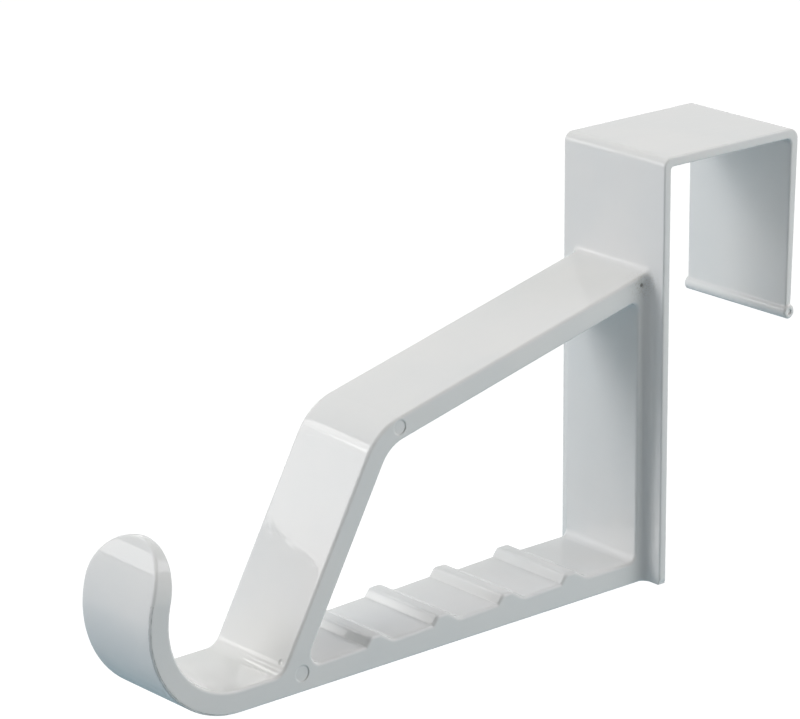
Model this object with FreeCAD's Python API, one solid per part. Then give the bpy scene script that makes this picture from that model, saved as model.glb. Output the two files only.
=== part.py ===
import FreeCAD, Part
import math
import os

# Over door hook, moulded in one piece.
# Millimetres. X is the width, Y runs towards the door, Z is up.
# The origin is the middle of the face that sits on the top edge of the door.

# clip that goes over the door
door_gap = 40.0
clip_width = 34.6
front_thickness = 2.2
top_thickness = 2.3
rear_root_thickness = 2.4
rear_foot_thickness = 1.9
rear_lean = 0.4
rear_narrowing = 0.4
front_bend = 2.3
rear_bend = 2.8
front_inner_bend = 0.8
rear_inner_bend = 1.5
plate_corner = 1.5
clip_edge = 0.4

# round bead along the foot of the rear plate
bead_diameter = 3.5
bead_depth = 43.65
bead_overhang = 0.5
bead_chamfer = 0.35
dimple_diameter = 1.3
dimple_depth = 0.3
bead_root = 0.6

# closed frame in front of the door; every reach is measured from the front of the plate
frame_width = 25.0
wall = 5.6
overall_height = 103.85
arm_root_depth = 25.95
arm_slope = 13.7
leg_slope = 28.9
leg_foot_reach = 112.8
bend_outer = 15.0
pad_thickness = 3.4
pad_corner = 2.0
frame_edge = 0.7
root_fillet = 1.7

# notched rail for hangers
ridge_count = 4
first_ridge_reach = 27.6
last_notch = 24.6
ridge_height = 2.4
ridge_front_run = 1.5
ridge_top_run = 3.2
ridge_back_run = 3.6
notch_rise = 0.4
crest_front_round = 1.1
crest_back_round = 1.9
notch_back_round = 4.0
leg_corner = 3.0

# hook
hook_floor = 11.9
hook_outer = 24.9
hook_heel = 4.3
tip_lean = 16.3
lean_radius = 23.0
tip_roll = 50.0
tip_blunting = 3.3

# round marks of the mould on one side of the frame: reach, depth, diameter
mark_depth = 0.15
bend_mark = (77.7, 47.3, 3.5)
foot_mark = (107.1, 99.2, 3.9)
root_mark = (2.4, 28.9, 1.3)

front_face = -door_gap / 2 - front_thickness
hook_front = front_face - leg_foot_reach - hook_floor - hook_outer
ridge_pitch = (leg_foot_reach - last_notch - first_ridge_reach) / (ridge_count - 1)
bottom = -overall_height
floor = bottom + wall
overlap = wall / 5
near = 0.01


def point(y, z):
    return FreeCAD.Vector(0, y, z)


def towards(angle):
    """Unit direction in the side view, measured from +Y towards +Z."""
    return point(math.cos(math.radians(angle)), math.sin(math.radians(angle)))


def meet(p, angle_p, q, angle_q):
    """Where two lines of the side view cross, each given by a point and its direction."""
    u = towards(angle_p)
    v = towards(angle_q)
    w = q - p
    along = (w.y * v.z - w.z * v.y) / (u.y * v.z - u.z * v.y)
    return p + u * along


def rounded_outline(corners):
    """Closed outline through (point, radius) corners, each corner an arc that touches both sides."""
    count = len(corners)
    starts = []
    ends = []
    middles = []
    for i in range(count):
        p, radius = corners[i]
        before = (corners[i - 1][0] - p).normalize()
        after = (corners[(i + 1) % count][0] - p).normalize()
        if radius == 0:
            starts.append(p)
            ends.append(p)
            middles.append(None)
            continue
        half = before.getAngle(after) / 2
        reach = radius / math.tan(half)
        centre = p + (before + after).normalize() * (radius / math.sin(half))
        starts.append(p + before * reach)
        ends.append(p + after * reach)
        middles.append(centre + (p - centre).normalize() * radius)
    edges = []
    for i in range(count):
        if middles[i] is not None:
            edges.append(Part.Arc(starts[i], middles[i], ends[i]).toShape())
        start_of_next = starts[(i + 1) % count]
        if (start_of_next - ends[i]).Length > 1e-6:
            edges.append(Part.makeLine(ends[i], start_of_next))
    return Part.Wire(edges)


def across(outline, half_width):
    """Solid with the given side view, equally far to both sides."""
    face = Part.Face(outline)
    face.translate(FreeCAD.Vector(-half_width, 0, 0))
    return face.extrude(FreeCAD.Vector(2 * half_width, 0, 0))


def clip_outline():
    half = door_gap / 2
    return rounded_outline([
        (point(front_face, bottom), 0),
        (point(front_face, top_thickness), front_bend),
        (point(half + rear_root_thickness, top_thickness), rear_bend),
        (point(half - rear_lean + rear_foot_thickness, -bead_depth), 0),
        (point(half - rear_lean, -bead_depth), 0),
        (point(half, 0), rear_inner_bend),
        (point(-half, 0), front_inner_bend),
        (point(-half, bottom), 0),
    ])


def narrowed(clip):
    """Takes a slim wedge off both sides of the rear plate."""
    half = clip_width / 2
    for side in (-1, 1):
        top = FreeCAD.Vector(side * half, rear_inner_bend, 0)
        foot = FreeCAD.Vector(side * (half - rear_narrowing), rear_inner_bend, -bead_depth - overlap)
        outside = FreeCAD.Vector(side * (half + overlap), rear_inner_bend, -bead_depth - overlap)
        wedge = Part.Face(Part.makePolygon([top, foot, outside, top]))
        clip = clip.cut(wedge.extrude(FreeCAD.Vector(0, door_gap, 0)))
    return clip


def with_soft_sides(clip):
    """Softens the edges on both sides of the clip, apart from the foot that the bead covers."""
    soft = []
    for edge in clip.Edges:
        sides = [face for face in clip.ancestorsOfType(edge, Part.Face) if is_side(face)]
        middle = edge.CenterOfMass
        rear_foot = middle.y > 0 and middle.z < near - bead_depth
        front_foot = middle.y < 0 and middle.z < near + bottom
        if len(sides) == 1 and not rear_foot and not front_foot:
            soft.append(edge)
    return clip.makeFillet(clip_edge, soft)


def with_round_corners(clip):
    """Rounds the two lower corners of the front plate."""
    half = clip_width / 2
    back = FreeCAD.Vector(0, 1, 0)
    depth = front_thickness + 2 * overlap
    for side in (-1, 1):
        centre = FreeCAD.Vector(side * (half - plate_corner), front_face - overlap, bottom + plate_corner)
        corner = centre - FreeCAD.Vector(0 if side > 0 else overlap + plate_corner, 0, overlap + plate_corner)
        block = Part.makeBox(plate_corner + overlap, depth, plate_corner + overlap, corner)
        round_part = Part.makeCylinder(plate_corner, depth, centre, back)
        clip = clip.cut(block.cut(round_part))
    return clip


def is_side(face):
    normal = face.normalAt(0, 0)
    return face.Surface.TypeId == "Part::GeomPlane" and abs(normal.x) > 0.99


def make_bead():
    """Round bead with blunt ends and a dimple in the right end, turned about its own axis."""
    half = clip_width / 2 - rear_narrowing + bead_overhang
    middle = door_gap / 2 - rear_lean + rear_foot_thickness / 2
    radius = bead_diameter / 2

    def below_axis(x, drop):
        return FreeCAD.Vector(x, middle, -bead_depth - drop)

    profile = Part.makePolygon([
        below_axis(-half, 0),
        below_axis(-half, radius - bead_chamfer),
        below_axis(bead_chamfer - half, radius),
        below_axis(half - bead_chamfer, radius),
        below_axis(half, radius - bead_chamfer),
        below_axis(half, dimple_diameter / 2),
        below_axis(half - dimple_depth, dimple_diameter / 2),
        below_axis(half - dimple_depth, 0),
        below_axis(-half, 0),
    ])
    return Part.Face(profile).revolve(below_axis(0, 0), FreeCAD.Vector(1, 0, 0), 360)


def with_bead(clip):
    """Joins the bead and fills the two inner corners beside it."""
    joined = clip.fuse(make_bead()).removeSplitter()
    roots = []
    for edge in joined.Edges:
        box = edge.BoundBox
        long_enough = box.XLength > clip_width / 2
        beside_bead = box.YMin > door_gap / 4 and box.ZMin > -bead_depth and box.ZMax < bead_diameter - bead_depth
        if long_enough and beside_bead and edge.Curve.TypeId == "Part::GeomLine":
            if len({face.Surface.TypeId for face in joined.ancestorsOfType(edge, Part.Face)}) == 2:
                roots.append(edge)
    return joined.makeFillet(bead_root, roots)


def make_clip():
    clip = across(clip_outline(), clip_width / 2)
    clip = narrowed(clip)
    clip = with_soft_sides(clip)
    clip = with_round_corners(clip)
    return with_bead(clip)


def frame_lines():
    """Points on the top of the arm and the front of the leg, with the directions of both."""
    arm = point(front_face, -arm_root_depth)
    leg = point(front_face - leg_foot_reach, floor)
    return arm, 180 + arm_slope, leg, 90 - leg_slope


def tip_corners():
    """Corners of the hook's free end: on its inner face, where both faces would meet, on its outer face."""
    widest = bottom + hook_outer
    inner_rise = lean_radius * math.tan(math.radians(tip_lean / 2))
    outer_rise = hook_outer * math.tan(math.radians(tip_roll / 2))
    inner_corner = point(hook_front + wall, widest + inner_rise)
    outer_corner = point(hook_front, widest + outer_rise)
    peak = meet(inner_corner, 90 - tip_lean, outer_corner, 90 - tip_roll)
    return inner_corner, peak, outer_corner


def outer_outline():
    arm, arm_way, leg, leg_way = frame_lines()
    inner_corner, peak, outer_corner = tip_corners()
    inside_plate = point(front_face + overlap, bottom)
    corners = [
        (meet(arm, arm_way, inside_plate, 90), 0),
        (meet(arm, arm_way, leg, leg_way), bend_outer),
        (leg, hook_heel),
        (point(hook_front + wall, floor), hook_outer - wall),
        (inner_corner, lean_radius),
        (peak, 0),
        (outer_corner, hook_outer),
        (point(hook_front, bottom), hook_outer),
        (inside_plate, 0),
    ]
    return rounded_outline(corners)


def ridge_corners(reach):
    """One ridge of the rail: steep towards the hook, gentle towards the door."""
    top = floor + ridge_height
    run = front_face - reach
    return [
        (point(run, floor + notch_rise), 0),
        (point(run + ridge_front_run, top), crest_front_round),
        (point(run + ridge_front_run + ridge_top_run, top), crest_back_round),
        (point(run + ridge_front_run + ridge_top_run + ridge_back_run, floor), notch_back_round),
    ]


def window_outline():
    arm, arm_way, leg, leg_way = frame_lines()
    under_arm = arm + towards(arm_way + 90) * wall
    behind_leg = leg + towards(leg_way - 90) * wall
    pad = point(front_face - pad_thickness, floor)
    corners = [
        (meet(under_arm, arm_way, pad, 90), pad_corner),
        (meet(under_arm, arm_way, behind_leg, leg_way), bend_outer - wall),
        (meet(behind_leg, leg_way, pad, 0), leg_corner),
    ]
    for i in range(ridge_count):
        corners += ridge_corners(first_ridge_reach + (ridge_count - 1 - i) * ridge_pitch)
    corners.append((pad, pad_corner))
    return rounded_outline(corners)


def tip_waste():
    """What comes off the free end of the hook, so that it ends in a half circle."""
    half = frame_width / 2
    top = tip_corners()[1] - towards(90 - tip_lean) * tip_blunting
    centre = top - towards(90 - tip_lean) * half
    block = Part.makeBox(2 * frame_width, 4 * wall, frame_width, FreeCAD.Vector(-frame_width, -2 * wall, 0))
    round_end = Part.makeCylinder(half, 4 * wall, point(-2 * wall, 0), FreeCAD.Vector(0, 1, 0))
    waste = block.cut(round_end)
    waste.rotate(FreeCAD.Vector(0, 0, 0), FreeCAD.Vector(1, 0, 0), -tip_lean)
    waste.translate(centre)
    return waste


def make_frame():
    half = frame_width / 2
    frame = across(outer_outline(), half).cut(across(window_outline(), half + overlap))
    frame = frame.cut(tip_waste()).removeSplitter()
    soft = []
    for edge in frame.Edges:
        faces = frame.ancestorsOfType(edge, Part.Face)
        sides = [face for face in faces if is_side(face) or is_round_end(face)]
        if len(sides) == 1 and edge.BoundBox.YMin < front_face + overlap - near:
            soft.append(edge)
    return frame.makeFillet(frame_edge, soft)


def is_round_end(face):
    return face.Surface.TypeId == "Part::GeomCylinder" and abs(face.Surface.Axis.x) < 0.5


def with_root(frame):
    """Adds the fillet all round the root of the frame, where it grows out of the front plate."""
    half = clip_width / 2 - clip_edge
    below = 2 * root_fillet
    low = FreeCAD.Vector(-half, front_face, bottom - below)
    plate = Part.makeBox(2 * half, front_thickness, overall_height + below - front_bend, low)
    body = frame.fuse(plate).removeSplitter()
    root = []
    for edge in body.Edges:
        box = edge.BoundBox
        on_plate = abs(box.YMin - front_face) < near and abs(box.YMax - front_face) < near
        inside = max(abs(box.XMin), abs(box.XMax)) < half - near
        if on_plate and inside:
            root.append(edge)
    body = body.makeFillet(root_fillet, root)
    waste = Part.makeBox(2 * half, -hook_front, below, FreeCAD.Vector(-half, hook_front, bottom - below))
    return body.cut(waste)


def with_marks(shape):
    """Presses the round marks of the mould into the right side of the frame."""
    for reach, depth, diameter in (bend_mark, foot_mark, root_mark):
        base = FreeCAD.Vector(frame_width / 2 - mark_depth, front_face - reach, -depth)
        shape = shape.cut(Part.makeCylinder(diameter / 2, 2 * mark_depth, base, FreeCAD.Vector(1, 0, 0)))
    return shape


os.makedirs("parts", exist_ok=True)
hook = make_clip().fuse(with_root(make_frame())).removeSplitter()
hook = with_marks(hook).Solids[0]
hook.exportStep("parts/over_door_hook.step")
print("volume", round(hook.Volume, 1), "faces", len(hook.Faces), "valid", hook.isValid())
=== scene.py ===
import math
import bpy
from mathutils import Matrix, Vector


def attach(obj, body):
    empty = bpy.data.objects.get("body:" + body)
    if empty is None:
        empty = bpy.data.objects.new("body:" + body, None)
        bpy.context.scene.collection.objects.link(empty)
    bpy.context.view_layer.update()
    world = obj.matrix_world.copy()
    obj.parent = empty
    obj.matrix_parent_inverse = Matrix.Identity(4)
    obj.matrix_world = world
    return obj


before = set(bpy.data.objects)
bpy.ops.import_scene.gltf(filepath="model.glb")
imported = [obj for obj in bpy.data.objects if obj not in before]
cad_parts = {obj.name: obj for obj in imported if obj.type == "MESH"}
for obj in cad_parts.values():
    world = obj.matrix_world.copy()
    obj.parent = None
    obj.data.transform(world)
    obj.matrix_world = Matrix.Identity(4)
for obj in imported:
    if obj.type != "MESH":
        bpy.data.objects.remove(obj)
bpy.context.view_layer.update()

scene = bpy.context.scene
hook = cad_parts["over_door_hook"]
print("stage 1: frame loaded, hook is", [round(v, 4) for v in hook.dimensions])


# small helpers: most add one node to a tree and give back the socket to link on

def addNode(tree, kind, at, **values):
    # a node at a place on the sheet, with its plain values set by name
    node = tree.nodes.new(kind)
    node.location = at
    for name, value in values.items():
        if name in node.inputs:
            node.inputs[name].default_value = value
        else:
            setattr(node, name, value)
    return node


def link(tree, fromSocket, toSocket):
    tree.links.new(fromSocket, toSocket)


def noise(tree, at, place, **values):
    node = addNode(tree, "ShaderNodeTexNoise", at, **values)
    link(tree, place.outputs["Object"], node.inputs["Vector"])
    return node.outputs["Fac"]


def distanceFrom(tree, at, place, point):
    node = addNode(tree, "ShaderNodeVectorMath", at, operation="DISTANCE")
    link(tree, place.outputs["Object"], node.inputs[0])
    node.inputs[1].default_value = point
    return node.outputs["Value"]


def spread(tree, at, source, span, toSpan=(0.0, 1.0), ease="LINEAR"):
    # maps one span of values onto another
    node = addNode(tree, "ShaderNodeMapRange", at, interpolation_type=ease)
    node.inputs["From Min"].default_value = span[0]
    node.inputs["From Max"].default_value = span[1]
    node.inputs["To Min"].default_value = toSpan[0]
    node.inputs["To Max"].default_value = toSpan[1]
    link(tree, source, node.inputs["Value"])
    return node.outputs["Result"]


def mathOf(tree, at, operation, first, second):
    node = addNode(tree, "ShaderNodeMath", at, operation=operation)
    link(tree, first, node.inputs[0])
    link(tree, second, node.inputs[1])
    return node.outputs["Value"]


def ramp(tree, at, source, stops):
    # stops from the lowest to the highest, each a position and its colour
    node = addNode(tree, "ShaderNodeValToRGB", at)
    elements = node.color_ramp.elements
    for i, (position, tone) in enumerate(stops):
        element = elements[i] if i < 2 else elements.new(position)
        element.position = position
        element.color = tone
    link(tree, source, node.inputs["Fac"])
    return node.outputs["Color"]


def toneOver(tree, at, share, under, tone):
    node = addNode(tree, "ShaderNodeMixRGB", at, Color2=tone)
    link(tree, share, node.inputs["Fac"])
    link(tree, under, node.inputs["Color1"])
    return node.outputs["Color"]


def bump(tree, at, height, under, depth):
    # height in the shading, on top of the normal under it
    node = addNode(tree, "ShaderNodeBump", at, Strength=1.0, Distance=depth)
    link(tree, height, node.inputs["Height"])
    link(tree, under, node.inputs["Normal"])
    return node.outputs["Normal"]


def chooseShader(tree, at, share, first, second):
    node = addNode(tree, "ShaderNodeMixShader", at)
    link(tree, share, node.inputs["Fac"])
    link(tree, first, node.inputs[1])
    link(tree, second, node.inputs[2])
    return node.outputs["Shader"]


def lookedAt(tree, at):
    # 1 for what the camera sees, also in gloss or through glass, and 0 for what only sends light
    rays = addNode(tree, "ShaderNodeLightPath", at)
    cameraOrGloss = mathOf(tree, (at[0] + 200, at[1]), "MAXIMUM",
                           rays.outputs["Is Camera Ray"], rays.outputs["Is Glossy Ray"])
    return mathOf(tree, (at[0] + 400, at[1]), "MAXIMUM",
                  cameraOrGloss, rays.outputs["Is Transmission Ray"])


def emptyMaterial(name):
    material = bpy.data.materials.new(name)
    material.use_nodes = True
    material.node_tree.nodes.clear()
    return material


# white moulded plastic

plastic = {
    "lightTone": (0.848, 0.846, 0.842, 1),   # where the resin lies thick
    "coolTone": (0.815, 0.824, 0.828, 1),    # clouds in the white
    "cloudSize": 38.0,                       # clouds per metre
    "cloudEdge": (0.35, 0.65),
    "sheen": 0.025,                          # roughness of the moulded skin
    "sheenSpread": 0.01,
    "polishSize": 114.0,                     # patches of better polish, per metre
    "polishEdge": (0.3, 0.7),
    "softEdge": 0.0005,                      # how far the edges of the skin round off
    "sinkSize": 85.0,                        # slow waves of the cooled surface, per metre
    "sinkDepth": 0.00002,
    "rippleSize": 200.0,                     # shorter waves on top of them, per metre
    "rippleDepth": 0.00002,
    "gateAt": (0.0125, -0.0246, -0.0289),    # where the plastic was let in
    "gateReach": 0.0055,
    "gateDepth": 0.0001,
    "gateHoleShadeTone": (0.33, 0.32, 0.30, 1),       # painted shade: dark grey standing in for the shade in the small hole where the gate was broken off
    "gateWidth": 0.0013,
    "wrinkleSize": 900.0,                    # wrinkles round it, per metre
    "speckSize": 2600.0,                     # scuffs round it, per metre
    "speckEdge": (0.5, 0.62),
    "speckTone": (0.70, 0.685, 0.655, 1),
    "dentAt": (0.0103, -0.1337, -0.0959),    # small dent at the end of the crease under the leg
    "dentReach": 0.0009,
    "dentDepth": 0.0003,
}


def makePlastic(p):
    material = emptyMaterial("whitePlastic")
    tree = material.node_tree
    out = addNode(tree, "ShaderNodeOutputMaterial", (900, 0))
    skin = addNode(tree, "ShaderNodeBsdfPrincipled", (600, 0), IOR=1.5)
    link(tree, skin.outputs["BSDF"], out.inputs["Surface"])
    place = addNode(tree, "ShaderNodeTexCoord", (-1200, 0))

    # slow clouds in the white
    clouds = noise(tree, (-800, 300), place, Scale=p["cloudSize"], Detail=3.0)
    dark, light = p["cloudEdge"]
    white = ramp(tree, (-500, 300), clouds, [(dark, p["coolTone"]), (light, p["lightTone"])])

    # scuffs round the gate, and painted shade in the small hole where the gate was broken off
    fromGate = distanceFrom(tree, (-1000, 700), place, p["gateAt"])
    nearGate = spread(tree, (-700, 900), fromGate, (p["gateReach"], 0.0), ease="SMOOTHSTEP")
    specks = noise(tree, (-700, 1200), place, Scale=p["speckSize"], Detail=2.0)
    speckShare = mathOf(tree, (-250, 1000), "MULTIPLY",
                        nearGate, spread(tree, (-450, 1200), specks, p["speckEdge"]))
    scuffed = toneOver(tree, (0, 400), speckShare, white, p["speckTone"])
    # painted shade: a dark disc of colour stands in for the shade inside the small hole at the gate
    holeShadeSpan = (p["gateWidth"] / 2, p["gateWidth"] / 4)
    paintedHoleShade = spread(tree, (-450, 700), fromGate, holeShadeSpan, ease="SMOOTHSTEP")
    link(tree, toneOver(tree, (250, 400), paintedHoleShade, scuffed, p["gateHoleShadeTone"]), skin.inputs["Base Color"])

    # uneven gloss of the mould's polish
    polish = noise(tree, (-800, 0), place, Scale=p["polishSize"], Detail=4.0)
    glossSpan = (p["sheen"] - p["sheenSpread"], p["sheen"] + p["sheenSpread"])
    link(tree, spread(tree, (-500, 0), polish, p["polishEdge"], glossSpan), skin.inputs["Roughness"])

    # soft edges, slow sink waves, then the shorter waves of the skin
    softEdges = addNode(tree, "ShaderNodeBevel", (-300, -500), samples=8, Radius=p["softEdge"])
    sink = noise(tree, (-800, -300), place, Scale=p["sinkSize"], Detail=1.0)
    sunken = bump(tree, (0, -300), sink, softEdges.outputs["Normal"], p["sinkDepth"])
    ripple = noise(tree, (-800, -600), place, Scale=p["rippleSize"], Detail=2.0)
    rippled = bump(tree, (200, -300), ripple, sunken, p["rippleDepth"])

    # wrinkles round the gate
    wrinkle = noise(tree, (-800, -1150), place, Scale=p["wrinkleSize"], Detail=2.0, Distortion=1.5)
    gateHeight = mathOf(tree, (-400, -1000), "MULTIPLY", nearGate, wrinkle)
    wrinkled = bump(tree, (400, -300), gateHeight, rippled, p["gateDepth"])

    # dent at the end of the crease
    fromDent = distanceFrom(tree, (-400, -1400), place, p["dentAt"])
    dent = spread(tree, (-200, -1400), fromDent, (0.0, p["dentReach"]), ease="SMOOTHSTEP")
    link(tree, bump(tree, (500, -600), dent, wrinkled, p["dentDepth"]), skin.inputs["Normal"])
    return material


whitePlastic = makePlastic(plastic)
hook.data.materials.clear()
hook.data.materials.append(whitePlastic)
print("stage 2: plastic on the hook")


# parting line down the right front edge of the hook: a fine rib with a line of painted shade at each side,
# laid over the rounding of the edge along an arc about the hook's own middle

partingLine = {
    "bend": 0.0249,          # outer radius of the hook
    "side": 0.0125,          # half the hook's width
    "round": 0.0007,         # rounding of the edge
    "from": 164.0,           # degrees in the side view, 180 is the front
    "to": 262.0,
    "steps": 90,
    # across the rounding: degrees from the side to the front, height over it in millimetres
    "profile": [(13, -0.03), (17, 0.01), (30, 0.01), (36, 0.06), (45, 0.09),
                (54, 0.06), (60, 0.01), (73, 0.01), (77, -0.03)],
    "endHeight": -0.03,      # both ends dip under the skin
    # painted shade: dark grey colour along each side of the rib, standing in for the shade a fine groove
    # would hold
    "paintedGrooveShadeTone": (0.36, 0.37, 0.37, 1),
    "paintedShadePatchSize": 700.0,     # patches in the painted shade beside the rib, per metre
    "paintedShadeEdge": (0.3, 0.8),
}


# painted shade: dark grey colour with patches, for the strips beside the rib, where a groove would hold
# shade
def makePaintedShadeLines(v):
    material = emptyMaterial("paintedShadeLines")
    tree = material.node_tree
    out = addNode(tree, "ShaderNodeOutputMaterial", (700, 0))
    skin = addNode(tree, "ShaderNodeBsdfPrincipled", (400, 0), Roughness=0.5, IOR=1.5)
    link(tree, skin.outputs["BSDF"], out.inputs["Surface"])
    place = addNode(tree, "ShaderNodeTexCoord", (-500, 0))
    uneven = noise(tree, (-300, 0), place, Scale=v["paintedShadePatchSize"], Detail=1.0)
    dark, light = v["paintedShadeEdge"]
    shade = ramp(tree, (0, 0), uneven, [(dark, v["paintedGrooveShadeTone"]), (light, plastic["coolTone"])])
    link(tree, shade, skin.inputs["Base Color"])
    return material


def makePartingLine(v):
    corners = [hook.matrix_world @ Vector(c) for c in hook.bound_box]
    front = min(c.y for c in corners)
    bottom = min(c.z for c in corners)
    middle = Vector((v["side"] - v["round"], front + v["bend"], bottom + v["bend"]))
    count = len(v["profile"])
    points = []
    faces = []
    for i in range(v["steps"] + 1):
        angle = math.radians(v["from"] + (v["to"] - v["from"]) * i / v["steps"])
        outward = Vector((0, math.cos(angle), math.sin(angle)))
        atEnd = i in (0, v["steps"])
        for j, (turn, height) in enumerate(v["profile"]):
            reach = v["round"] + (v["endHeight"] if atEnd else height) / 1000
            across = Vector((math.cos(math.radians(turn)), 0, 0)) + outward * math.sin(math.radians(turn))
            points.append(middle + outward * (v["bend"] - v["round"]) + across * reach)
            if i < v["steps"] and j < count - 1:
                a = i * count + j
                faces.append((a, a + 1, a + count + 1, a + count))
    mesh = bpy.data.meshes.new("partingLine")
    mesh.from_pydata(points, [], faces)
    mesh.materials.append(whitePlastic)
    mesh.materials.append(makePaintedShadeLines(v))
    for k, polygon in enumerate(mesh.polygons):
        polygon.use_smooth = True
        # the second strip from either side gets the painted shade
        polygon.material_index = 1 if k % (count - 1) in (1, count - 3) else 0
    line = bpy.data.objects.new("partingLine", mesh)
    scene.collection.objects.link(line)
    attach(line, "root")


makePartingLine(partingLine)
print("stage 3: parting line")


def makeSheet(name, v, material):
    # a level square about the origin
    half = v["half"]
    corners = [(x, y, v["level"]) for x, y in ((-half, -half), (half, -half), (half, half), (-half, half))]
    mesh = bpy.data.meshes.new(name)
    mesh.from_pydata(corners, [], [(0, 1, 2, 3)])
    mesh.materials.append(material)
    sheet = bpy.data.objects.new(name, mesh)
    scene.collection.objects.link(sheet)
    return sheet


# floor that looks white and keeps the hook's shadow

floorSheet = {
    "level": -0.42,
    "half": 6.0,
    "tone": (0.25, 0.25, 0.25, 1),
    "lift": (0.97, 0.97, 0.97, 1),       # what the floor adds to its own tone, for what looks at it
}


def makeFloor(f):
    material = emptyMaterial("paleFloor")
    tree = material.node_tree
    out = addNode(tree, "ShaderNodeOutputMaterial", (900, 0))
    paint = addNode(tree, "ShaderNodeBsdfDiffuse", (0, 0), Color=f["tone"])
    glow = addNode(tree, "ShaderNodeEmission", (50, -200), Color=f["lift"])
    link(tree, lookedAt(tree, (-600, -200)), glow.inputs["Strength"])
    both = addNode(tree, "ShaderNodeAddShader", (300, 0))
    link(tree, paint.outputs["BSDF"], both.inputs[0])
    link(tree, glow.outputs["Emission"], both.inputs[1])

    # from below the floor lets the hook show through
    side = addNode(tree, "ShaderNodeNewGeometry", (300, 300))
    clear = addNode(tree, "ShaderNodeBsdfTransparent", (300, -250))
    surface = chooseShader(tree, (600, 0), side.outputs["Backfacing"],
                           both.outputs["Shader"], clear.outputs["BSDF"])
    link(tree, surface, out.inputs["Surface"])
    floor = makeSheet("floor", f, material)


# dark sheet under the hook, out of the picture, that keeps light from below off it

flag = {
    "level": -0.40,
    "half": 1.7,
    "fade": 0.7,                         # from here to its border it thins out
    "tone": (0.385, 0.51, 0.58, 1),
}


def makeFlag(f):
    material = emptyMaterial("darkFlag")
    tree = material.node_tree
    out = addNode(tree, "ShaderNodeOutputMaterial", (400, 0))
    felt = addNode(tree, "ShaderNodeBsdfDiffuse", (0, 0), Color=f["tone"])
    clear = addNode(tree, "ShaderNodeBsdfTransparent", (0, -150))
    place = addNode(tree, "ShaderNodeTexCoord", (-800, 200))
    fromMiddle = distanceFrom(tree, (-600, 200), place, (0, 0, 0))
    thin = spread(tree, (-400, 200), fromMiddle, (f["fade"], f["half"]), ease="SMOOTHSTEP")
    surface = chooseShader(tree, (200, 0), thin, felt.outputs["BSDF"], clear.outputs["BSDF"])
    link(tree, surface, out.inputs["Surface"])
    card = makeSheet("flag", f, material)
    card.visible_camera = False
    card.visible_shadow = False


# soft light all round, dark overhead, and a white backdrop for what looks at it

room = {
    "below": (0.20, 0.20, 0.20, 1),
    "level": (0.40, 0.385, 0.375, 1),
    "above": (0.02, 0.02, 0.02, 1),
    "backdrop": (1, 1, 1, 1),
}


def makeRoom(r):
    world = bpy.data.worlds.new("room")
    scene.world = world
    world.use_nodes = True
    tree = world.node_tree
    tree.nodes.clear()
    out = addNode(tree, "ShaderNodeOutputWorld", (900, 0))
    place = addNode(tree, "ShaderNodeTexCoord", (-900, 0))
    split = addNode(tree, "ShaderNodeSeparateXYZ", (-700, 0))
    link(tree, place.outputs["Generated"], split.inputs["Vector"])
    height = spread(tree, (-500, 0), split.outputs["Z"], (-1.0, 1.0))
    sky = ramp(tree, (-250, 0), height, [(0.0, r["below"]), (0.5, r["level"]), (1.0, r["above"])])
    soft = addNode(tree, "ShaderNodeBackground", (100, 100), Strength=1.0)
    link(tree, sky, soft.inputs["Color"])
    white = addNode(tree, "ShaderNodeBackground", (100, -100), Color=r["backdrop"], Strength=1.0)
    surface = chooseShader(tree, (500, 0), lookedAt(tree, (-250, -300)),
                           soft.outputs["Background"], white.outputs["Background"])
    link(tree, surface, out.inputs["Surface"])


makeFloor(floorSheet)
makeFlag(flag)
makeRoom(room)
print("stage 4: floor and room")


# studio soft boxes, placed by what the hook sees: each fills the angles between two bearings, in
# degrees left of straight ahead, and between two heights, in degrees over level

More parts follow.
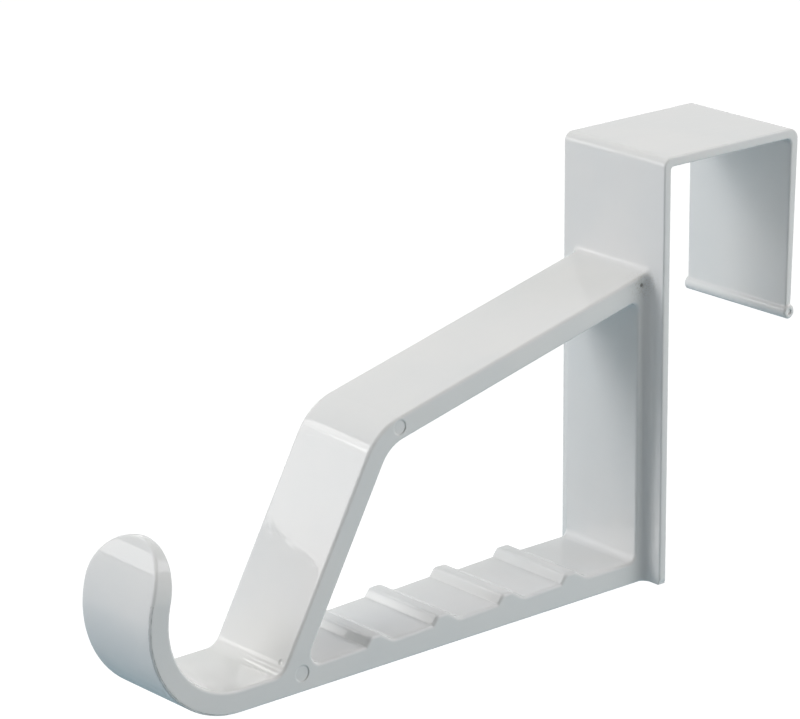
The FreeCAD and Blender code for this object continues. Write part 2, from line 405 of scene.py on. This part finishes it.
aim = Vector((0.0, -0.12, -0.07))        # the spot on the hook that all boxes face
overheadShare = 0.9                      # how much of its width a box straight overhead keeps
lamps = {
    # glow is watts per square metre, and mirrored says whether the box itself shows in the gloss
    "window": {"around": (22, 64), "up": (18.1, 29.0), "away": 1.5, "glow": 6.7,
               "tone": (1.0, 0.979, 0.969), "mirrored": True},
    # two small ones, so close that only the bends of the leg and of the arm's root mirror them
    "bendStrip": {"around": (50, 68), "up": (32.6, 40.0), "away": 0.2, "glow": 9.6,
                  "tone": (1.0, 0.979, 0.969), "mirrored": True},
    "rootStrip": {"around": (83, 103), "up": (35.0, 44.5), "away": 0.15, "glow": 9.0,
                  "tone": (1.0, 0.979, 0.969), "mirrored": True},
    "lowFront": {"around": (-5, 35), "up": (0, 11.5), "away": 1.5, "glow": 3.8,
                 "tone": (0.887, 0.998, 1.0), "mirrored": False},
    "over": {"around": (20, 58), "up": (29.0, 42), "away": 1.5, "glow": 28.4,
             "tone": (0.992, 0.99, 1.0), "mirrored": False},
    "overRight": {"around": (-5, 20), "up": (29.0, 42), "away": 1.5, "glow": 3.8,
                  "tone": (0.73, 0.687, 1.0), "mirrored": False},
    "high": {"around": (0, 50), "up": (42, 58), "away": 1.5, "glow": 3.7,
             "tone": (0.903, 1.0, 0.908), "mirrored": False},
    "backRight": {"around": (-172, -130), "up": (26, 56), "away": 1.5, "glow": 6.3,
                  "tone": (0.96, 0.93, 1.0), "mirrored": True},
    "backRightLow": {"around": (-165, -110), "up": (-12, 15), "away": 1.5, "glow": 8.6,
                     "tone": (0.979, 1.0, 0.957), "mirrored": False},
    "backLeft": {"around": (125, 180), "up": (42, 70), "away": 1.5, "glow": 2.5,
                 "tone": (0.79, 0.999, 1.0), "mirrored": False},
    "ceiling": {"around": (-18, 18), "up": (73, 107), "away": 1.5, "glow": 4.5,
                "tone": (1.0, 0.981, 0.868), "mirrored": False},
}


def makeLamp(name, v):
    around = math.radians(sum(v["around"]) / 2)
    up = math.radians(sum(v["up"]) / 2)
    wide = math.radians(v["around"][1] - v["around"][0])
    tall = math.radians(v["up"][1] - v["up"][0])
    narrowing = overheadShare if v["up"][1] > 90 else math.cos(up)
    way = Vector((-math.sin(around) * math.cos(up), -math.cos(around) * math.cos(up), math.sin(up)))
    data = bpy.data.lights.new(name, "AREA")
    data.shape = "RECTANGLE"
    data.size = 2 * v["away"] * math.tan(wide / 2) * narrowing
    data.size_y = 2 * v["away"] * math.tan(tall / 2)
    data.energy = v["glow"] * data.size * data.size_y
    data.color = v["tone"]
    lamp = bpy.data.objects.new(name, data)
    lamp.visible_glossy = v["mirrored"]
    facing = way.to_track_quat("Z", "Y").to_matrix().to_4x4()
    lamp.matrix_world = Matrix.Translation(aim + way * v["away"]) @ facing
    scene.collection.objects.link(lamp)


for name, values in lamps.items():
    makeLamp(name, values)
print("stage 5: lamps")


# camera where the photographer stood

view = {
    "at": (0.674398, -0.664427, 0.248628),
    "azimuth": 49.5316,                  # degrees
    "elevation": 17.8287,
    "roll": -0.3948,
    "lens": 183.09,                      # millimetres
}


def makeCamera(v):
    data = bpy.data.cameras.new("camera")
    data.sensor_fit = "HORIZONTAL"
    data.sensor_width = 36.0
    data.lens = v["lens"]
    data.clip_start = 0.05
    data.clip_end = 50.0
    camera = bpy.data.objects.new("camera", data)
    turn = Matrix.Rotation(math.radians(v["azimuth"]), 4, "Z")
    tilt = Matrix.Rotation(math.radians(90 - v["elevation"]), 4, "X")
    roll = Matrix.Rotation(math.radians(v["roll"]), 4, "Z")
    camera.matrix_world = Matrix.Translation(v["at"]) @ turn @ tilt @ roll
    scene.collection.objects.link(camera)
    scene.camera = camera


makeCamera(view)
scene.view_settings.view_transform = "Standard"
print("stage 6: camera")
